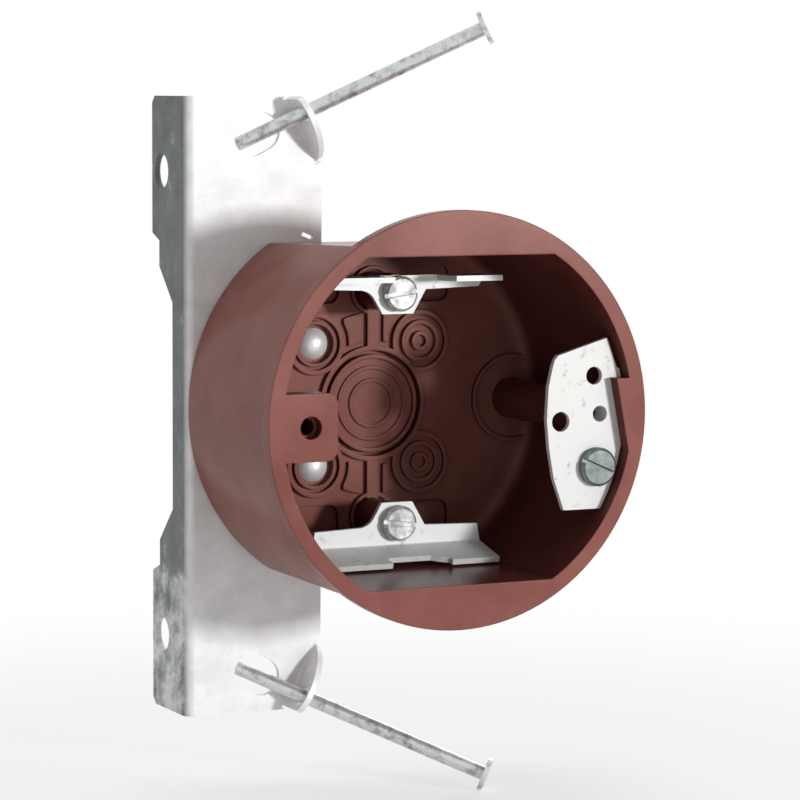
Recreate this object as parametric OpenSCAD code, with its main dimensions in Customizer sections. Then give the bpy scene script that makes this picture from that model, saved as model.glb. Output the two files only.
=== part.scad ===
// Round new-work ceiling box: a moulded box riveted to a stamped bracket that is nailed to a joist.
// The joist's face is the plane x = 0 and the two nailing holes lie on the line y = 0.
// The box opens towards -y, and +z runs along the length of the bracket.

/* [Box] */
// Depth of the box from the front of the rim to its back
box_depth = 47; // [44:0.5:56]
// How far the rim stands out beyond the body
rim_overhang = 1.05; // [0.6:0.05:2]
// Thickness of the rim from front to back
rim_t = 3; // [2:0.1:4]
// Outside radius of the body behind the rim
body_r = 43.4; // [42.5:0.1:43.8]
// How much the round wall narrows towards the back
round_draft = 0.2; // [0:0.1:0.8]
// How far each flat is cut into the round, behind the rim
flat_inset = 6.3; // [5:0.1:7]
// How much each flat leans in towards the back
flat_draft = 1.2; // [0.4:0.1:1.6]
// Thickness of the side walls
wall_t = 2.2; // [1.6:0.1:2.6]
// Thickness of the back wall
floor_t = 2.5; // [2:0.1:3.5]
// Radius of the cove between the side wall and the back wall
cove_r = 4.5; // [2:0.1:6]
// Chamfer round the outside of the back
back_chamfer = 0.8; // [0.2:0.1:1.2]

/* [Back wall pattern] */
// Height of the raised ridges on the back wall
ridge_h = 1.1; // [0.5:0.1:1.3]
// Outside radius of the ridge round the centre knockout
knockout_r = 12.9; // [12:0.1:13.3]
// Width of a ridge
ridge_w = 1.1; // [0.8:0.1:1.4]
// Width and depth of the break groove inside the ridge
groove_w = 0.9; // [0.6:0.1:1.2]
// Height of the rings on the knockout disc
disc_ring_h = 0.35; // [0.2:0.05:0.6]
// Distance of the blank bosses from the box's axis, across
boss_x = 11.8; // [11.2:0.1:13]
// Distance of the corner bosses from the box's axis, along the bracket
boss_z = 13.6; // [13:0.1:14.5]
// Outside radius of a corner boss's outer ring
boss_r = 6.6; // [6:0.1:7]
// Width of the rib between the knockout and each clamp post
rib_w = 2.9; // [2:0.1:3.5]

/* [Ears] */
// Distance of each cover screw from the outside of the body
cover_screw_inset = 8.475; // [8:0.025:9]
// Radius of the thread for a cover screw
cover_thread_r = 1.75; // [1.6:0.05:1.9]
// Radius of the wide mouth of the moulded hole
mouth_r = 2.4; // [2.1:0.1:2.8]
// Depth of that mouth
mouth_d = 2.6; // [1:0.1:2.8]
// How far the left ear reaches in from the box's outside
left_ear_w = 14.6; // [13.5:0.1:16]
// Height of the left ear
left_ear_h = 14.2; // [13:0.1:16]
// Radius of the posts under the ears
post_r = 4.6; // [4.2:0.1:5]
// Height of the right ear
right_ear_h = 15.6; // [14:0.1:17]
// How far the right ear reaches in from the box's outside, at its middle
right_ear_w = 4.5; // [4:0.1:5]
// Slant of the right ear's inner edge, end to end
right_ear_slant = 3; // [0:0.1:3.4]

/* [Bracket] */
// Thickness of the bracket's steel
sheet_t = 1.3; // [1:0.1:1.6]
// Length of the bracket
bracket_l = 135.8; // [132:0.2:142]
// Distance from the plate's inner edge to the box's axis
plate_gap = 11.1; // [9:0.1:12]
// Depth of the flange that lies on the joist
flange_w = 19.5; // [18.5:0.1:22]
// Depth of the flange at its waist
waist_w = 7.8; // [6:0.1:10]
// Half the length of the waist
waist_half = 22.8; // [18:0.1:25]
// Half the distance between the two steps in the flange
step_half = 36.9; // [35:0.1:39]
// Depth of the flange between waist and step
mid_w = 15.4; // [13:0.1:16.5]
// Outside radius of the bend between plate and flange
bend_r = 2; // [1.7:0.1:2.4]
// Distance of each nailing hole from the box's axis
nail_hole_z = 51.4; // [48:0.1:56]
// Radius of the nailing holes in the flange
nail_hole_r = 3.9; // [3:0.1:4.5]
// Distance from the front of the plate to the line of nailing holes
nail_hole_y = 14; // [13:0.1:14.6]
// Radius of the ends of the long holes that the nails pass through
point_hole_r = 4.2; // [3.6:0.1:4.6]
// Width of the corner that is folded forward to carry a nail
fold_w = 7.4; // [6.8:0.1:8.5]
// Length along the bracket of the folded corner
fold_l = 15.4; // [14.5:0.1:17]
// How far the folded corner stands up from the plate
tab_h = 7.7; // [7.6:0.1:8.6]
// Distance of the folded corner's peak from the top end of the fold
tab_peak = 3.6; // [3.4:0.1:4.5]
// Distance of the nail's hole from the top end of the fold
tab_hole_s = 3.6; // [3.5:0.1:4.2]
// Distance of the nail's hole in front of the plate
tab_hole_h = 4.9; // [4.6:0.1:5]

/* [Nails] */
// Length of a nail, point to head
nail_l = 70; // [68:0.5:71]
// How far a nail's point reaches past the folded corner
nail_in = 25.8; // [23:0.1:27]
// Diameter of a nail
nail_d = 3.1; // [2.8:0.1:3.3]
// Diameter of a nail's head
nail_head_d = 7.4; // [6:0.1:8.5]
// Angle of a nail to the direction across the bracket
nail_rise = 27.5; // [26:0.1:29]
// How much more the upper nail rises than this, and the lower one less
nail_sway = 1.9; // [0:0.1:2.2]
// Angle at which a nail stands off the plate
nail_lift = 30; // [29:0.1:32]

/* [Rivets] */
// Distance of the rivets from the plate's inner edge
rivet_inset = 2.9; // [2.6:0.1:3.4]
// Radius of a rivet's shank
rivet_r = 1.5; // [1.2:0.1:1.7]
// Radius of a rivet's domed head
rivet_head_r = 3.5; // [3:0.1:3.8]
// Height of a rivet's domed head
rivet_head_h = 1.8; // [1.2:0.1:2.4]

/* [Clamps] */
// Distance of each clamp screw from the flat outside
clamp_inset = 11.9; // [11:0.1:12.5]
// Height of the clamps' seats above the inside of the back wall
clamp_seat_h = 12.2; // [9:0.1:15]
// Length of a clamp
clamp_l = 40; // [36:0.5:42]
// Thickness of a clamp
clamp_t = 1.2; // [1:0.1:1.4]
// Height of the lower clamp's straight band
lower_band_h = 3.8; // [3.2:0.1:4]
// Height of the upper clamp's straight band
upper_band_h = 1.5; // [1.2:0.1:3.8]
// Length of a clamp's lip
lip_l = 11.5; // [8:0.1:12]
// Angle at which the lower clamp's lip leans outward
lower_lip_lean = 14; // [4:1:14]
// Angle at which the upper clamp's lip leans outward
upper_lip_lean = 1; // [0:1:12]
// Width of the notch in a clamp's lip
notch_w = 10; // [7:0.1:12]
// Depth of the lower clamp's notch; the upper one reaches the band
notch_d = 3.2; // [2:0.1:6]
// Radius of a clamp screw's shank
clamp_screw_r = 1.75; // [1.5:0.05:2]
// Radius of a clamp screw's head
clamp_head_r = 3.9; // [3.5:0.1:4.4]
// Height of a clamp screw's head
clamp_head_h = 2.3; // [1.8:0.1:2.8]

/* [Ground plate] */
// Depth of the ground plate's face behind the front of the rim
ground_d = 3; // [2.4:0.1:5]
// Width of the ground plate
ground_w = 18.2; // [17:0.1:19]
// Thickness of the ground plate
ground_t = 1.3; // [1:0.1:1.6]
// Distance of the ground screw below the cover screw
ground_screw_z = 11.4; // [10.8:0.1:12]
// Distance of the ground screw from the cover screw, towards the middle
ground_screw_x = 0.9; // [0.4:0.1:1.4]
// Radius of the ground screw's head
ground_head_r = 4.2; // [3.8:0.1:4.4]
// Height of the ground screw's head
ground_head_h = 1.9; // [1.5:0.1:2.3]
// Radius of the ground screw's shank
ground_screw_r = 2.3; // [2:0.05:2.4]
// Length of the ground screw's shank
ground_screw_l = 8; // [6:0.5:10]
// Angle of the ground screw's slot
ground_slot_angle = -24; // [-90:1:90]

/* [Hidden] */
$fn = 96;
play = 0.1;
cut = 1;
size_k = body_r / 43.4;
rim_r = body_r + rim_overhang;
flat_half = body_r - flat_inset;
cover_screw_x = body_r - cover_screw_inset;
right_ear_x = body_r - right_ear_w;
plate_w = body_r - plate_gap;
clamp_z = flat_half - clamp_inset;
ring_r = knockout_r * size_k;
blank_x = boss_x * size_k;
blank_z = boss_z * size_k;
blank_r = boss_r * size_k;
clamp_half = clamp_l / 2 * size_k;
brown = [0.53, 0.33, 0.30];
steel = [0.82, 0.83, 0.83];
bright = [0.72, 0.73, 0.73];
plate_y = -nail_hole_y;
axis_x = body_r;
front_y = plate_y - box_depth;
floor_d = box_depth - floor_t;
inner_r = body_r - wall_t;
inner_half = flat_half - wall_t;
rivet_x = plate_w - rivet_inset - axis_x;
seat_d = floor_d - clamp_seat_h;
clamp_d = seat_d - clamp_t;
slot_w = 1;
slot_depth = 0.9;
groove_depth = 1.1;
collar_r = cover_thread_r + 0.9;
collar_l = 4;
entry_skin = 1.4;
lip_inside_r = 0.5;
recess_d = 0.6;
web_inset = 0.8;
half_l = bracket_l / 2;
relief = 0.6;
fold_along = sqrt(fold_l * fold_l - fold_w * fold_w);
fold_angle = atan2(fold_along, fold_w);
nail_tilt = acos(cos(nail_lift) * cos(90 - fold_angle - nail_rise + nail_sway));
tab_hole_r = nail_d / 2 / cos(nail_tilt) + sheet_t / 2 * tan(nail_tilt) + play / 2;
tab_hole_at = [plate_w - fold_w + tab_hole_s * cos(fold_angle) - sheet_t / 2 * sin(fold_angle),
               plate_y - tab_hole_h,
               half_l - tab_hole_s * sin(fold_angle) - sheet_t / 2 * cos(fold_angle)];
point_l = 4.5;
slit_z = 37.3 / 67.9 * half_l;
slit_l = 2.8;
nail_through = (tab_hole_h + sheet_t / 2) / tan(nail_lift);
nail_reach_in_hole = nail_d / 2 / sin(nail_lift) + sheet_t / 2 / tan(nail_lift) + 0.5;
point_hole_extra = 1.6;
nail_head_t = 1.2;

// Places children so that their z axis runs from depth d towards the front of the box
module from_depth(d) {
    translate([axis_x, front_y + d, 0]) rotate([90, 0, 0]) children();
}

// Repeats children on both sides of the plane across the middle
module both_sides(direction) {
    children();
    mirror(direction) children();
}

// A slab between two leaning flats, its height along z
module slab(half_back, half_front, h) {
    rotate([90, 0, 90])
        translate([0, 0, -rim_r])
            linear_extrude(2 * rim_r)
                polygon([[-half_back, 0], [half_back, 0], [half_front, h], [-half_front, h]]);
}

// A flat ring standing on z = 0
module ring(r, w, h) {
    difference() {
        cylinder(h = h, r = r);
        translate([0, 0, -cut]) cylinder(h = h + 2 * cut, r = r - w);
    }
}

module rounded_square(w, h, r) {
    translate([r, 0]) square([w - 2 * r, h]);
    translate([0, r]) square([w, h - 2 * r]);
    for (x = [r, w - r], y = [r, h - r]) translate([x, y]) circle(r);
}

// Outside of the box before it is hollowed
module box_outside() {
    body_h = box_depth - rim_t;
    back_r = body_r - round_draft;
    intersection() {
        rotate_extrude()
            polygon([[0, 0], [back_r - back_chamfer, 0], [back_r, back_chamfer],
                     [body_r, body_h + cut], [0, body_h + cut]]);
        slab(flat_half - flat_draft, flat_half, body_h + cut);
    }
    translate([0, 0, box_depth - rim_t]) cylinder(h = rim_t, r = rim_r);
}

// Hollow of the box, standing on the inside of the back wall
module box_hollow() {
    hollow_h = box_depth - floor_t;
    floor_r = inner_r - round_draft;
    translate([0, 0, floor_t]) intersection() {
        rotate_extrude() {
            polygon([[0, cove_r], [floor_r, cove_r], [inner_r, hollow_h + cut], [0, hollow_h + cut]]);
            square([floor_r - cove_r, cove_r]);
            intersection() {
                translate([floor_r - cove_r, cove_r]) circle(cove_r);
                translate([floor_r - cove_r, 0]) square(cove_r);
            }
        }
        slab(inner_half - flat_draft, inner_half, hollow_h + cut);
    }
}

// Ribs between the outside flats and the rim
module rim_gussets() {
    gusset_x = 20 * size_k;
    gusset_t = 2;
    back = flat_half - flat_draft;
    for (x = [-gusset_x, 0, gusset_x])
        translate([x - gusset_t / 2, 0, box_depth - rim_t])
            rotate([90, 0, 90]) linear_extrude(gusset_t)
                polygon([[back, 0], [flat_half + 2, 0], [back, -9]]);
}

// Rings, ribs and pads raised on the inside of the back wall, standing on z = 0
module back_wall_pattern() {
    ring(ring_r, ridge_w, ridge_h);
    ring(ring_r - ridge_w - groove_w, 0.9, ridge_h - 0.2);
    for (part = [0.65, 0.43]) ring(ring_r * part, 0.8, disc_ring_h + play);
    difference() {
        for (side = [-1, 1]) mirror([0, side < 0 ? 1 : 0, 0]) half_pattern();
        translate([0, 0, -cut]) cylinder(h = ridge_h + 2 * cut, r = ring_r - ridge_w / 2);
    }
    translate([cover_screw_x, 0, 0]) ring(post_r + 5.4, 0.9, ridge_h);
}

// The part of the pattern above the middle of the box
module half_pattern() {
    rib_end = clamp_z - post_r;
    translate([-rib_w / 2, ring_r - ridge_w, 0])
        cube([rib_w, rib_end + ridge_w - ring_r + 1.2, ridge_h]);
    translate([rivet_x, blank_z, 0]) {
        ring(blank_r + 0.3, ridge_w, ridge_h);
        ring(rivet_head_r + 1.6, 0.8, ridge_h - 0.1);
    }
    translate([blank_x, blank_z, 0]) {
        ring(blank_r + 0.4, ridge_w, ridge_h);
        ring(4.7, 1, ridge_h - 0.1);
        ring(2.2, 0.9, ridge_h - 0.1);
    }
    translate([0, clamp_z, 0]) ring(post_r + 0.8, 0.8, ridge_h);
    knockout_pads();
}

// Raised pads on both sides of the rib, with channels round them
module knockout_pads() {
    gap = 1.1;
    pad_w = 4.6;
    for (x = [rib_w / 2 + gap, -rib_w / 2 - gap - pad_w])
        difference() {
            intersection() {
                translate([x, ring_r, 0]) cube([pad_w, clamp_z - ring_r, ridge_h - 0.2]);
                cylinder(h = ridge_h, r = clamp_z - post_r - 0.3);
            }
            translate([0, 0, -cut]) cylinder(h = 3 * cut, r = ring_r + gap);
            for (x = [rivet_x, blank_x])
                translate([x, blank_z, -cut]) cylinder(h = 3 * cut, r = blank_r + 0.4 + gap);
        }
}

// Thin-walled cable entries beside each clamp, sunk into the back wall
module cable_entries() {
    entry_w = 11 * size_k;
    entry_h = 8.4 * size_k;
    entry_x = 8 * size_k;
    entry_z = clamp_z - 2.8;
    for (side = [-1, 1], end = [-1, 1])
        translate([end > 0 ? entry_x : -entry_x - entry_w, 0, entry_skin])
            translate([0, side > 0 ? entry_z : -entry_z - entry_h, 0])
                linear_extrude(floor_t) rounded_square(entry_w, entry_h, 2.4);
}

// Left ear with the post under it
module left_ear() {
    ear_t = 5;
    translate([-body_r + wall_t / 2, -left_ear_h / 2, box_depth - ear_t])
        linear_extrude(ear_t) {
            rounded_square(left_ear_w - wall_t / 2, left_ear_h, 2.6);
            square([left_ear_w / 2, left_ear_h]);
        }
    translate([-cover_screw_x, 0, floor_t - play]) cylinder(h = floor_d - cut, r = post_r);
    translate([-body_r + wall_t / 2, -post_r + web_inset, floor_t - play])
        cube([body_r - cover_screw_x - wall_t / 2, 2 * (post_r - web_inset), floor_d - cut]);
}

// Right ear, and the post that carries the ground plate
module right_ear() {
    seat_h = box_depth - ground_d - ground_t - floor_t;
    slant = right_ear_slant / 2;
    translate([0, 0, box_depth - ground_d + play / 2]) intersection() {
        cylinder(h = ground_d - play / 2, r = body_r - wall_t / 2);
        linear_extrude(ground_d - play / 2)
            polygon([[right_ear_x - slant, right_ear_h / 2], [body_r, right_ear_h / 2],
                     [body_r, -right_ear_h / 2], [right_ear_x + slant, -right_ear_h / 2]]);
    }
    translate([cover_screw_x, 0, floor_t - play]) cylinder(h = seat_h + play, r = post_r);
    translate([cover_screw_x, -post_r + web_inset, floor_t - play])
        cube([body_r - cover_screw_x - wall_t / 2, 2 * (post_r - web_inset), seat_h + play]);
}

module box_body() {
    screw_hole_l = 22;
    color(brown) from_depth(box_depth) difference() {
        union() {
            difference() {
                union() {
                    box_outside();
                    both_sides([0, 1, 0]) rim_gussets();
                }
                box_hollow();
                cable_entries();
                translate([0, 0, floor_t - groove_depth])
                    ring(ring_r - ridge_w, groove_w, groove_depth + cut);
            }
            translate([0, 0, floor_t - play]) intersection() {
                back_wall_pattern();
                cylinder(h = ridge_h + cut, r = inner_r);
                slab(inner_half, inner_half, ridge_h + cut);
            }
            for (side = [-1, 1])
                translate([0, side * clamp_z, floor_t - play])
                    cylinder(h = clamp_seat_h + play, r = post_r - 0.4);
            left_ear();
            right_ear();
        }
        for (side = [-1, 1])
            translate([0, side * clamp_z, floor_t + 1])
                cylinder(h = clamp_seat_h, r = clamp_screw_r + play / 2);
        translate([-cover_screw_x, 0, box_depth - screw_hole_l]) {
            cylinder(h = screw_hole_l + cut, r = cover_thread_r);
            translate([0, 0, screw_hole_l - mouth_d]) cylinder(h = mouth_d + cut, r = mouth_r);
        }
        translate([cover_screw_x, 0, box_depth - screw_hole_l])
            cylinder(h = screw_hole_l - ground_d, r = collar_r + play);
        for (side = [-1, 1]) translate([rivet_x, side * blank_z, 0]) {
            translate([0, 0, -cut]) cylinder(h = floor_t + 2 * cut, r = rivet_r + play);
            translate([0, 0, floor_t - recess_d]) cylinder(h = 2 * cut, r = rivet_head_r + 0.6);
        }
    }
}

// Flat sheet bent through a right angle, seen from its end: legs along +x and +y
module bent_corner(l) {
    linear_extrude(l) intersection() {
        difference() {
            translate([bend_r, bend_r]) circle(bend_r);
            translate([bend_r, bend_r]) circle(bend_r - sheet_t);
        }
        square(bend_r);
    }
}

// Outline of the plate behind the box, x across and y along the bracket
module plate_outline() {
    difference() {
        translate([bend_r, -half_l]) square([plate_w - bend_r, bracket_l]);
        for (side = [-1, 1]) {
            mirror([0, side < 0 ? 1 : 0]) {
                translate([plate_w - fold_w, half_l]) rotate(-fold_angle)
                    translate([-relief, -bend_r]) square([fold_l + 2 * relief, 20]);
                translate([tab_hole_at[0], tab_hole_at[2]]) rotate(nail_rise)
                    translate([-nail_through, 0]) point_hole();
            }
            translate([plate_w - rivet_inset, side * blank_z]) circle(rivet_r + play);
            translate([plate_w - 3.4, side * slit_z]) rotate(-side * 22)
                square([slit_l, 0.9], center = true);
        }
    }
}

// Long hole that a nail passes through on its way to the flange
module point_hole() {
    left = point_hole_r - nail_reach_in_hole - point_hole_extra;
    right = nail_reach_in_hole - point_hole_r;
    for (x = [left, right]) translate([x, 0]) circle(point_hole_r);
    translate([left, -point_hole_r]) square([right - left, 2 * point_hole_r]);
}

// Half of the flange's outline, x towards the back and y along the bracket
module flange_outline() {
    difference() {
        polygon([[bend_r, 0], [waist_w, 0], [waist_w, waist_half], [mid_w, waist_half + 7.6],
                 [mid_w, step_half - 0.8], [flange_w, step_half + 0.8], [flange_w, half_l - 1.5],
                 [flange_w - 1.5, half_l], [bend_r, half_l]]);
        translate([nail_hole_y, nail_hole_z]) circle(nail_hole_r);
    }
}

// Section through the fold: forward along x, in from the tab's outer face along y
module fold_section() {
    translate([bend_r, 0]) square([tab_h + sheet_t - bend_r, sheet_t]);
    translate([0, bend_r]) square([sheet_t, 1.5]);
    intersection() {
        difference() {
            translate([bend_r, bend_r]) circle(bend_r);
            translate([bend_r, bend_r]) circle(bend_r - sheet_t);
        }
        square(bend_r);
    }
}

// Outline of the folded corner: the fold along x, the peak towards -y
module tab_outline() {
    left_r = (tab_peak * tab_peak + tab_h * tab_h) / (2 * tab_h);
    far = fold_l - tab_peak;
    right_r = (far * far + tab_h * tab_h) / (2 * tab_h);
    translate([0, -0.5]) square([fold_l, 2 * sheet_t]);
    intersection() {
        translate([tab_peak, left_r - tab_h]) circle(left_r);
        translate([0, -tab_h - cut]) square([tab_peak, tab_h + cut]);
    }
    intersection() {
        translate([tab_peak, right_r - tab_h]) circle(right_r);
        translate([tab_peak, -tab_h - cut]) square([far, tab_h + cut]);
    }
}

// Corner of the plate folded forward to hold a nail
module nail_tab() {
    translate([plate_w - fold_w, plate_y, half_l]) rotate([0, fold_angle, 0]) intersection() {
        translate([0, sheet_t, 0]) rotate([-90, 0, 0]) rotate([0, 90, 0])
            linear_extrude(fold_l) fold_section();
        translate([0, 0, -10]) linear_extrude(20) tab_outline();
    }
}

module bracket() {
    color(steel) difference() {
        union() {
            translate([0, plate_y + sheet_t, 0]) rotate([90, 0, 0])
                linear_extrude(sheet_t) plate_outline();
            translate([0, plate_y, -half_l]) bent_corner(bracket_l);
            both_sides([0, 0, 1]) {
                translate([0, plate_y, 0]) rotate([90, 0, 90]) linear_extrude(sheet_t) flange_outline();
                nail_tab();
            }
        }
        both_sides([0, 0, 1])
            translate(tab_hole_at) rotate([0, fold_angle, 0])
                cylinder(h = 6 * sheet_t, r = tab_hole_r, center = true);
    }
}

module nail(rise) {
    reach = nail_l - nail_in;
    shank = nail_d / 2;
    head = nail_head_d / 2;
    color(bright) translate(tab_hole_at)
        rotate([0, -rise, 0]) rotate([0, 0, -nail_lift]) rotate([0, 90, 0]) {
            translate([0, 0, point_l - nail_in]) cylinder(h = nail_l - point_l - nail_head_t, r = shank);
            translate([0, 0, -nail_in]) cylinder(h = point_l, r1 = 0.15, r2 = shank);
            translate([0, 0, reach - nail_head_t]) cylinder(h = nail_head_t - 0.3, r = head);
            translate([0, 0, reach - 0.3]) cylinder(h = 0.3, r1 = head, r2 = head - 0.3);
        }
}

module nail_upper() {
    nail(nail_rise + nail_sway);
}

module nail_lower() {
    mirror([0, 0, 1]) nail(nail_rise - nail_sway);
}

// Domed cap standing on z = 0
module dome(r, h) {
    ball_r = (r * r + h * h) / (2 * h);
    rotate_extrude() intersection() {
        translate([0, h - ball_r]) circle(ball_r);
        square([r + cut, h + cut]);
    }
}

module rivet(side) {
    tail_h = 1;
    color(steel) from_depth(box_depth) translate([rivet_x, side * blank_z, 0]) {
        translate([0, 0, -sheet_t]) cylinder(h = sheet_t + floor_t - recess_d + play, r = rivet_r);
        translate([0, 0, floor_t - recess_d]) dome(rivet_head_r, rivet_head_h);
        translate([0, 0, -sheet_t]) mirror([0, 0, 1]) dome(rivet_r + 0.9, tail_h);
    }
}

module rivet_upper() {
    rivet(1);
}

module rivet_lower() {
    rivet(-1);
}

// Band and screw tab of a clamp, y away from the middle of the box
module clamp_outline(band_h) {
    k = clamp_half / 20;
    inner = 0.8 * k;
    outer = inner + band_h;
    end = clamp_half + 0.4 * k;
    sweep_r = 4;
    sweep = [for (a = [30:10:90]) [sweep_r * cos(a) - 9.1, sweep_r * sin(a) - 3.2] * k];
    difference() {
        polygon(concat([[end - 0.6 * k, inner + 0.4 * k], [6.8 * k, inner], [3.7 * k, -4.5 * k],
                        [-3.7 * k, -4.5 * k]], sweep,
                       [[0.6 * k - end, inner + 0.4 * k], [-end, outer], [end, outer]]));
        circle(clamp_screw_r + 0.35);
    }
}

// Lip of a clamp in profile, x outward and y forward
module lip_profile(lean) {
    outside_r = lip_inside_r + clamp_t;
    steps = 10;
    arc = [for (i = [0:steps]) let (a = (90 - lean) * i / steps - 90) [cos(a), sin(a)]];
    along = (lip_l - outside_r) * [sin(lean), cos(lean)];
    translate([0, outside_r])
        polygon(concat([for (p = arc) outside_r * p],
                       [outside_r * arc[steps] + along, lip_inside_r * arc[steps] + along],
                       [for (i = [steps:-1:0]) lip_inside_r * arc[i]]));
}

// What is cut out of a lip from the root forward, x along the clamp and y forward
module lip_notch(root) {
    end = lip_l - lip_inside_r - clamp_t;
    half = notch_w / 2;
    polygon([[-half, root], [half, root], [half + 1.6, root + 1.1], [half + 3.6, root + 2],
             [half + 4.2, end + cut], [-half - 0.6, end + cut], [-half - 0.6, root + 0.6]]);
}

module clamp(lean, band_h, notch_root) {
    fold_at = 0.8 * clamp_half / 20 + band_h;
    end = 1.02 * clamp_half;
    color(steel) translate([0, clamp_z, 0]) {
        linear_extrude(clamp_t) clamp_outline(band_h);
        difference() {
            translate([-end, fold_at, 0]) rotate([90, 0, 90]) linear_extrude(2 * end) lip_profile(lean);
            translate([0, fold_at, lip_inside_r + clamp_t]) rotate([-lean, 0, 0])
                translate([0, 2 * clamp_t, 0]) rotate([90, 0, 0])
                    linear_extrude(3 * clamp_t) lip_notch(notch_root);
        }
    }
}

module clamp_upper() {
    from_depth(seat_d) clamp(upper_lip_lean, upper_band_h, -lip_inside_r - play / 2);
}

module clamp_lower() {
    notch_root = lip_l - lip_inside_r - clamp_t - notch_d;
    from_depth(seat_d) mirror([0, 1, 0]) clamp(lower_lip_lean, lower_band_h, notch_root);
}

// Screw with its head standing on z = 0
module slotted_screw(head_r, head_h, shank_r, shank_l, slot_angle) {
    difference() {
        union() {
            cylinder(h = head_h - 0.5, r = head_r);
            translate([0, 0, head_h - 0.5]) cylinder(h = 0.5, r1 = head_r, r2 = head_r - 0.6);
            translate([0, 0, -shank_l]) cylinder(h = shank_l, r = shank_r);
        }
        rotate(slot_angle) translate([0, 0, head_h])
            cube([3 * head_r, slot_w, 2 * slot_depth], center = true);
    }
}

module clamp_screw(side) {
    color(bright) from_depth(clamp_d) translate([0, side * clamp_z, 0])
        slotted_screw(clamp_head_r, clamp_head_h, clamp_screw_r, clamp_t + clamp_seat_h - 2, 8 * side);
}

module clamp_screw_upper() {
    clamp_screw(1);
}

module clamp_screw_lower() {
    clamp_screw(-1);
}

// Outline of the ground plate from the box's axis, bounded by the wall on its right
module ground_outline() {
    k = ground_w / 18.2;
    difference() {
        intersection() {
            circle(inner_r - 0.4);
            translate([cover_screw_x, 0]) scale([k, k])
                polygon([[-10.3, 12.9], [1.6, 16.4], [4, 10.1], [7.1, 8], [7.1, -12], [1.4, -19.6],
                         [0.8, -20.6], [-8.7, -20.6], [-11.2, -13.6], [-12.4, -7], [-13, -0.6],
                         [-12.6, 6.4], [-11.6, 10.6], [-11.1, 12]]);
        }
        translate([cover_screw_x, 0]) {
            circle(cover_thread_r);
            translate([-9.6 * k, -1.4 * k]) circle(2.15);
            translate([-1.5 * k, 8.3 * k]) circle(1.95);
            translate([-ground_screw_x, -ground_screw_z]) circle(ground_screw_r + play / 2);
        }
    }
}

module ground_plate() {
    color(steel) from_depth(ground_d + ground_t) {
        linear_extrude(ground_t) ground_outline();
        translate([cover_screw_x, 0, -collar_l]) ring(collar_r, collar_r - cover_thread_r, collar_l + play);
    }
}

module ground_screw() {
    color(bright) from_depth(ground_d)
        translate([cover_screw_x - ground_screw_x, -ground_screw_z, 0])
        slotted_screw(ground_head_r, ground_head_h, ground_screw_r, ground_screw_l, ground_slot_angle);
}

box_body();
bracket();
rivet_upper();
rivet_lower();
clamp_upper();
clamp_lower();
clamp_screw_upper();
clamp_screw_lower();
ground_plate();
ground_screw();
nail_upper();
nail_lower();
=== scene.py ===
"""Looks, light and camera for the round outlet box on its nail-on bracket."""

import math

import bpy
from mathutils import Matrix, Vector


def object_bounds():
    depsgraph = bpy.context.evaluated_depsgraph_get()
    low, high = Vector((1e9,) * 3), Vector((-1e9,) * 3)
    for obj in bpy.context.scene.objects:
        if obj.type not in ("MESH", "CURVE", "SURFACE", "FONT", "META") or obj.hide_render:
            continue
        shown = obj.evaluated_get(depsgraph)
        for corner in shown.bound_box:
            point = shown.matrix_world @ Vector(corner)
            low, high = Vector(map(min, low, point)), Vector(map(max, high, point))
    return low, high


MM = 0.001

# Camera, fitted to the photograph: it looks at a point near the box's mouth
CAMERA_TARGET = Vector((28.80, -61.0, 5.07)) * MM
CAMERA_DISTANCE = 688.99 * MM
CAMERA_YAW = math.radians(26.06)
CAMERA_RISE = math.radians(5.39)
CAMERA_ROLL = 0.0048
SENSOR_WIDTH = 36.0
LENS = 148.73

# The box's inside, a little outside its inner walls, and the painted shade that darkens its moulding on the
# side walls there
BOX_AXIS_X = 43.4 * MM
INNER_RADIUS = 41.45 * MM
INNER_HALF = 35.4 * MM
INNER_WALL_PAINTED_SHADE = (0.45, 0.34, 0.34, 1)

# Radius at which the moulding's edges catch the light
MOULD_EDGE = 0.45 * MM

# How much a surface turns from the front before the painted shade starts and where it is full
PAINTED_SHADE_START = 0.85
PAINTED_SHADE_FULL = 0.35

# The bracket's flange: where its face with painted shade ends, off the joist and behind the plate,
# and its lower end, made lighter with painted light
FLANGE_FACE_NEAR = 1.0 * MM
FLANGE_FACE_FAR = 1.6 * MM
FLANGE_EDGE_FRONT = -13.6 * MM
FLANGE_EDGE_BACK = -12.2 * MM
PAINTED_LIGHT_TOP = -20 * MM
PAINTED_LIGHT_BOTTOM = -50 * MM
PAINTED_LIGHT_AMOUNT = 0.22

# Floor: its half width, how much of it glows under the object, and how far out it has faded to white
FLOOR_HALF = 4.0
FLOOR_GLOW = 0.60
FLOOR_FADE_START = 0.09
FLOOR_FADE_END = 0.28

# Light on surfaces from the world, and the lamps: name, place from the object's middle, size, power
AMBIENT = 0.37
LAMPS = [
    ("key", (0.51, -0.97, 0.09), 0.12, 6.9),
    ("top", (0.00, 0.10, 0.95), 0.45, 2.8),
    ("rear_left", (-0.78, 0.62, 0.10), 0.45, 0.4),
    ("rear_right", (0.80, 0.70, 0.30), 0.45, 3.5),
]

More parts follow.
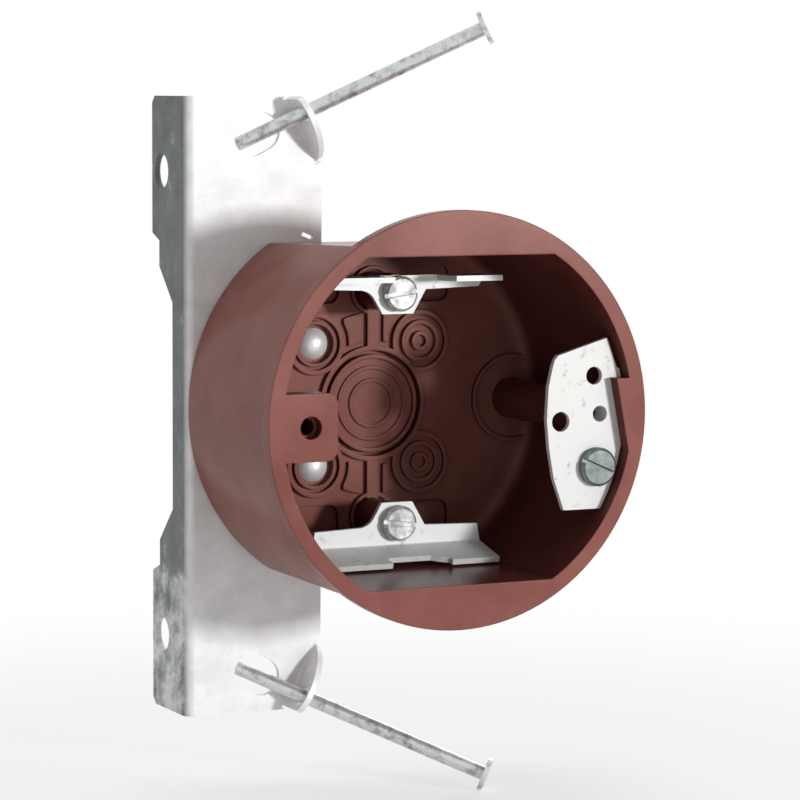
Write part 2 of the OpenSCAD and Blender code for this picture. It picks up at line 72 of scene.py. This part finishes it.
# Plated pieces: material, dark and light grey, roughness, patch scale, metallic, ramp stops, CAD nodes
STEELS = [
    ("rivet_steel", (226, 226, 226), (244, 244, 244), 0.35, 160, 0.30, (0.36, 0.62),
     ["rivet_upper", "rivet_lower"]),
    ("clamp_steel", (142, 148, 146), (220, 222, 221), 0.46, 300, 0.10, (0.26, 0.42),
     ["clamp_upper", "clamp_lower"]),
    ("ground_steel", (150, 153, 151), (208, 208, 206), 0.50, 420, 0.10, (0.26, 0.40),
     ["ground_plate"]),
    ("screw_steel", (128, 132, 130), (206, 208, 207), 0.44, 320, 0.30, (0.36, 0.62),
     ["clamp_screw_upper", "clamp_screw_lower"]),
    ("ground_screw_steel", (76, 84, 82), (122, 130, 128), 0.40, 260, 0.40, (0.36, 0.62),
     ["ground_screw"]),
    ("nail_steel", (140, 144, 144), (216, 219, 219), 0.28, 420, 0.50, (0.30, 0.52),
     ["nail_upper", "nail_lower"]),
]


def linear(r, g, b):
    """Turns a colour written in sRGB from 0 to 255 into Blender's linear colour."""
    def channel(value):
        value /= 255
        return value / 12.92 if value <= 0.04045 else ((value + 0.055) / 1.055) ** 2.4
    return (channel(r), channel(g), channel(b), 1.0)


def new_material(name):
    material = bpy.data.materials.new(name)
    material.use_nodes = True
    nodes = material.node_tree.nodes
    return material, nodes, material.node_tree.links, nodes["Principled BSDF"]


def noise_node(nodes, links, coords, scale, detail=3.0, roughness=0.55):
    noise = nodes.new("ShaderNodeTexNoise")
    noise.inputs["Scale"].default_value = scale
    noise.inputs["Detail"].default_value = detail
    noise.inputs["Roughness"].default_value = roughness
    links.new(coords, noise.inputs["Vector"])
    return noise


def ramp_node(nodes, links, source, stops):
    """A colour ramp over (place, colour) stops."""
    ramp = nodes.new("ShaderNodeValToRGB")
    elements = ramp.color_ramp.elements
    while len(elements) < len(stops):
        elements.new(0.5)
    for element, (place, colour) in zip(elements, stops):
        element.position = place
        element.color = colour
    links.new(source, ramp.inputs["Fac"])
    return ramp


def math_node(nodes, links, operation, first, second=None):
    """One step of arithmetic on a socket, with a second socket or number."""
    node = nodes.new("ShaderNodeMath")
    node.operation = operation
    links.new(first, node.inputs[0])
    if isinstance(second, (int, float)):
        node.inputs[1].default_value = second
    elif second is not None:
        links.new(second, node.inputs[1])
    return node.outputs[0]


def range_node(nodes, links, source, start, end, low=0.0, high=1.0, smooth=False):
    """Maps start..end of a socket to low..high."""
    node = nodes.new("ShaderNodeMapRange")
    if smooth:
        node.interpolation_type = "SMOOTHSTEP"
    node.inputs["From Min"].default_value = start
    node.inputs["From Max"].default_value = end
    node.inputs["To Min"].default_value = low
    node.inputs["To Max"].default_value = high
    links.new(source, node.inputs["Value"])
    return node.outputs["Result"]


def mix_node(nodes, links, factor, first, second, blend="MIX"):
    """Mixes two colours, each a socket or a plain colour."""
    node = nodes.new("ShaderNodeMix")
    node.data_type = "RGBA"
    node.blend_type = blend
    links.new(factor, node.inputs["Factor"])
    for place, colour in ((6, first), (7, second)):
        if isinstance(colour, tuple):
            node.inputs[place].default_value = colour
        else:
            links.new(colour, node.inputs[place])
    return node.outputs[2]


def bump_node(nodes, links, shader, height, strength, distance):
    """Puts a fine bump on a shader's normal."""
    bump = nodes.new("ShaderNodeBump")
    bump.inputs["Strength"].default_value = strength
    bump.inputs["Distance"].default_value = distance
    links.new(height, bump.inputs["Height"])
    links.new(bump.outputs["Normal"], shader.inputs["Normal"])
    return bump


def painted_shade_zone(nodes, links):
    """Where painted shade darkens the moulding: 1 on the box's inner side walls and the sides of its relief,
    0 on what faces front or is outside.
    """
    places = nodes.new("ShaderNodeTexCoord")
    flat = nodes.new("ShaderNodeVectorMath")
    flat.operation = "MULTIPLY"
    flat.inputs[1].default_value = (1, 0, 1)
    links.new(places.outputs["Object"], flat.inputs[0])
    radius = nodes.new("ShaderNodeVectorMath")
    radius.operation = "DISTANCE"
    radius.inputs[1].default_value = (BOX_AXIS_X, 0, 0)
    links.new(flat.outputs[0], radius.inputs[0])
    in_round = math_node(nodes, links, "LESS_THAN", radius.outputs["Value"], INNER_RADIUS)
    height = nodes.new("ShaderNodeSeparateXYZ")
    links.new(places.outputs["Object"], height.inputs[0])
    from_axis = math_node(nodes, links, "ABSOLUTE", height.outputs["Z"])
    in_flats = math_node(nodes, links, "LESS_THAN", from_axis, INNER_HALF)
    facing = nodes.new("ShaderNodeSeparateXYZ")
    links.new(places.outputs["Normal"], facing.inputs[0])
    front = math_node(nodes, links, "ABSOLUTE", facing.outputs["Y"])
    sideways = range_node(nodes, links, front, PAINTED_SHADE_START, PAINTED_SHADE_FULL, smooth=True)
    inside = math_node(nodes, links, "MULTIPLY", in_round, in_flats)
    return math_node(nodes, links, "MULTIPLY", inside, sideways)


def moulded_material():
    """Glossy brown phenolic with faint flow marks, and painted shade on its inner side walls and the sides
    of its relief.
    """
    material, nodes, links, shader = new_material("moulded_brown")
    coords = nodes.new("ShaderNodeTexCoord").outputs["Object"]
    flow = noise_node(nodes, links, coords, 55, detail=4)
    ramp = ramp_node(nodes, links, flow.outputs["Fac"],
                     [(0.30, linear(122, 73, 66)), (0.52, linear(136, 85, 78)), (0.75, linear(146, 95, 87))])
    # Painted shade: the brown is multiplied darker on the inner side walls and relief sides, where shadow
    # falls inside the box.
    colour = mix_node(nodes, links, painted_shade_zone(nodes, links), ramp.outputs["Color"],
                      INNER_WALL_PAINTED_SHADE, "MULTIPLY")
    links.new(colour, shader.inputs["Base Color"])
    shader.inputs["Roughness"].default_value = 0.24
    shader.inputs["IOR"].default_value = 1.22
    shader.inputs["Specular IOR Level"].default_value = 0.30
    shader.inputs["Specular Tint"].default_value = (1.0, 0.75, 0.70, 1)
    grain = noise_node(nodes, links, coords, 700, detail=2)
    bump = bump_node(nodes, links, shader, grain.outputs["Fac"], 0.05, 0.2 * MM)
    soft_edges = nodes.new("ShaderNodeBevel")
    soft_edges.samples = 6
    soft_edges.inputs["Radius"].default_value = MOULD_EDGE
    links.new(soft_edges.outputs["Normal"], bump.inputs["Normal"])
    return material


def steel_material(name, dark, light, roughness, scale, metallic, stops):
    """Plated steel whose colour wanders between two greys."""
    material, nodes, links, shader = new_material(name)
    coords = nodes.new("ShaderNodeTexCoord").outputs["Object"]
    patches = noise_node(nodes, links, coords, scale, detail=5, roughness=0.65)
    greys = [(stops[0], linear(*dark)), (stops[1], linear(*light))]
    ramp = ramp_node(nodes, links, patches.outputs["Fac"], greys)
    links.new(ramp.outputs["Color"], shader.inputs["Base Color"])
    shader.inputs["Metallic"].default_value = metallic
    shader.inputs["Roughness"].default_value = roughness
    bump_node(nodes, links, shader, patches.outputs["Fac"], 0.08, 0.3 * MM)
    return material


def bracket_material():
    """Galvanised sheet: bright on the plate; on the flange that lies on the joist, blotched zinc darkened
    with painted shade and made lighter towards its lower end with painted light.
    """
    material = steel_material("bracket_steel", (228, 229, 229), (243, 244, 244),
                              0.50, 160, 0.10, (0.36, 0.62))
    nodes, links = material.node_tree.nodes, material.node_tree.links
    shader = nodes["Principled BSDF"]
    plate_colour = shader.inputs["Base Color"].links[0].from_socket
    coords = nodes.new("ShaderNodeTexCoord").outputs["Object"]
    blotches = noise_node(nodes, links, coords, 110, detail=6, roughness=0.7)
    parts = nodes.new("ShaderNodeSeparateXYZ")
    links.new(coords, parts.inputs[0])
    # Painted light: the flange's grey grows lighter towards its lower end.
    painted_light = range_node(nodes, links, parts.outputs["Z"], PAINTED_LIGHT_TOP, PAINTED_LIGHT_BOTTOM,
                      high=PAINTED_LIGHT_AMOUNT, smooth=True)
    brighter = math_node(nodes, links, "ADD", blotches.outputs["Fac"], painted_light)
    # Painted shade: blotched zinc greys darkened to stand for the shade on the flange's face.
    flange = ramp_node(nodes, links, brighter, [(0.38, linear(76, 83, 83)), (0.60, linear(108, 114, 114)),
                                                (0.80, linear(222, 224, 225))])
    behind = range_node(nodes, links, parts.outputs["Y"], FLANGE_EDGE_FRONT, FLANGE_EDGE_BACK)
    near_joist = range_node(nodes, links, parts.outputs["X"], FLANGE_FACE_FAR, FLANGE_FACE_NEAR)
    zone = math_node(nodes, links, "MULTIPLY", behind, near_joist)
    colour = mix_node(nodes, links, zone, plate_colour, flange.outputs["Color"])
    links.new(colour, shader.inputs["Base Color"])
    return material


def dress(nodes, names, material):
    """Puts the material in the slots of the CAD nodes named."""
    for name in names:
        slots = nodes[name].data.materials
        if not slots:
            slots.append(material)
        for i in range(len(slots)):
            slots[i] = material


def area_light(name, place, target, size, power):
    light = bpy.data.lights.new(name, "AREA")
    light.shape = "SQUARE"
    light.size = size
    light.energy = power
    lamp = bpy.data.objects.new(name, light)
    bpy.context.scene.collection.objects.link(lamp)
    lamp.location = place
    lamp.rotation_euler = (Vector(target) - Vector(place)).to_track_quat("-Z", "Y").to_euler()


def seen_rays(nodes, links):
    """1 for rays that see the background: from the camera, in gloss and through glass."""
    path = nodes.new("ShaderNodeLightPath")
    total = path.outputs["Is Camera Ray"]
    for name in ("Is Glossy Ray", "Is Transmission Ray"):
        total = math_node(nodes, links, "MAXIMUM", total, path.outputs[name])
    return total


def build_world(ambient):
    """White to the camera and in reflections, and a plain ambient level elsewhere."""
    world = bpy.data.worlds.new("studio")
    bpy.context.scene.world = world
    world.use_nodes = True
    nodes, links = world.node_tree.nodes, world.node_tree.links
    nodes.clear()
    plain = nodes.new("ShaderNodeBackground")
    plain.inputs["Strength"].default_value = ambient
    white = nodes.new("ShaderNodeBackground")
    white.inputs["Strength"].default_value = 1.0
    for shader in (plain, white):
        shader.inputs["Color"].default_value = (1, 1, 1, 1)
    mix = nodes.new("ShaderNodeMixShader")
    links.new(seen_rays(nodes, links), mix.inputs["Fac"])
    links.new(plain.outputs[0], mix.inputs[1])
    links.new(white.outputs[0], mix.inputs[2])
    out = nodes.new("ShaderNodeOutputWorld")
    links.new(mix.outputs[0], out.inputs["Surface"])


def build_floor(height, centre):
    """A wide pale floor that keeps the soft shadow near the object and fades to white round it."""
    mesh = bpy.data.meshes.new("floor")
    corners = [(x * FLOOR_HALF, y * FLOOR_HALF, height) for x, y in ((-1, -1), (1, -1), (1, 1), (-1, 1))]
    mesh.from_pydata(corners, [], [(0, 1, 2, 3)])
    floor = bpy.data.objects.new("floor", mesh)
    bpy.context.scene.collection.objects.link(floor)
    material, nodes, links, shader = new_material("floor_white")
    shader.inputs["Base Color"].default_value = (0.9, 0.9, 0.9, 1)
    shader.inputs["Roughness"].default_value = 0.9
    shader.inputs["Specular IOR Level"].default_value = 0.1
    glow = nodes.new("ShaderNodeEmission")
    glow.inputs["Strength"].default_value = 1.0
    coords = nodes.new("ShaderNodeTexCoord").outputs["Object"]
    away = nodes.new("ShaderNodeVectorMath")
    away.operation = "DISTANCE"
    away.inputs[1].default_value = (centre.x, centre.y, height)
    links.new(coords, away.inputs[0])
    fade = range_node(nodes, links, away.outputs["Value"], FLOOR_FADE_START, FLOOR_FADE_END,
                      low=FLOOR_GLOW, smooth=True)
    share = math_node(nodes, links, "MULTIPLY", fade, seen_rays(nodes, links))
    mix = nodes.new("ShaderNodeMixShader")
    links.new(share, mix.inputs["Fac"])
    links.new(shader.outputs[0], mix.inputs[1])
    links.new(glow.outputs[0], mix.inputs[2])
    links.new(mix.outputs[0], nodes["Material Output"].inputs["Surface"])
    mesh.materials.append(material)


def build_camera():
    """The photograph's viewpoint."""
    towards_camera = Vector((-math.sin(CAMERA_YAW) * math.cos(CAMERA_RISE),
                             -math.cos(CAMERA_YAW) * math.cos(CAMERA_RISE),
                             math.sin(CAMERA_RISE)))
    right = (-towards_camera).cross(Vector((0, 0, 1))).normalized()
    up = right.cross(-towards_camera)
    rolled_right = right * math.cos(CAMERA_ROLL) + up * math.sin(CAMERA_ROLL)
    rolled_up = up * math.cos(CAMERA_ROLL) - right * math.sin(CAMERA_ROLL)
    data = bpy.data.cameras.new("camera")
    data.sensor_fit = "HORIZONTAL"
    data.sensor_width = SENSOR_WIDTH
    data.lens = LENS
    camera = bpy.data.objects.new("camera", data)
    bpy.context.scene.collection.objects.link(camera)
    turn = Matrix((rolled_right, rolled_up, towards_camera)).transposed().to_4x4()
    camera.matrix_world = Matrix.Translation(CAMERA_TARGET + towards_camera * CAMERA_DISTANCE) @ turn
    bpy.context.scene.camera = camera


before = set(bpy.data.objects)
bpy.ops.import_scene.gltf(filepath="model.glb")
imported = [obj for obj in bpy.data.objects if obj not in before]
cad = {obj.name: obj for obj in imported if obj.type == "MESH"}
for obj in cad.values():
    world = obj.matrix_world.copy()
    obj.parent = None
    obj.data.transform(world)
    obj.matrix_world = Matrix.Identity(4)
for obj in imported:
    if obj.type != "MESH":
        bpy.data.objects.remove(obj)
cad_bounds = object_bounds()

dress(cad, ["box_body"], moulded_material())
dress(cad, ["bracket"], bracket_material())
for name, dark, light, roughness, scale, metallic, stops, names in STEELS:
    dress(cad, names, steel_material(name, dark, light, roughness, scale, metallic, stops))

low, high = Vector(cad_bounds[0]), Vector(cad_bounds[1])
middle = (low + high) / 2
build_floor(low.z, middle)
build_world(AMBIENT)
for name, offset, size, power in LAMPS:
    area_light(name, middle + Vector(offset), middle, size, power)
build_camera()
bpy.context.scene.view_settings.view_transform = "Standard"
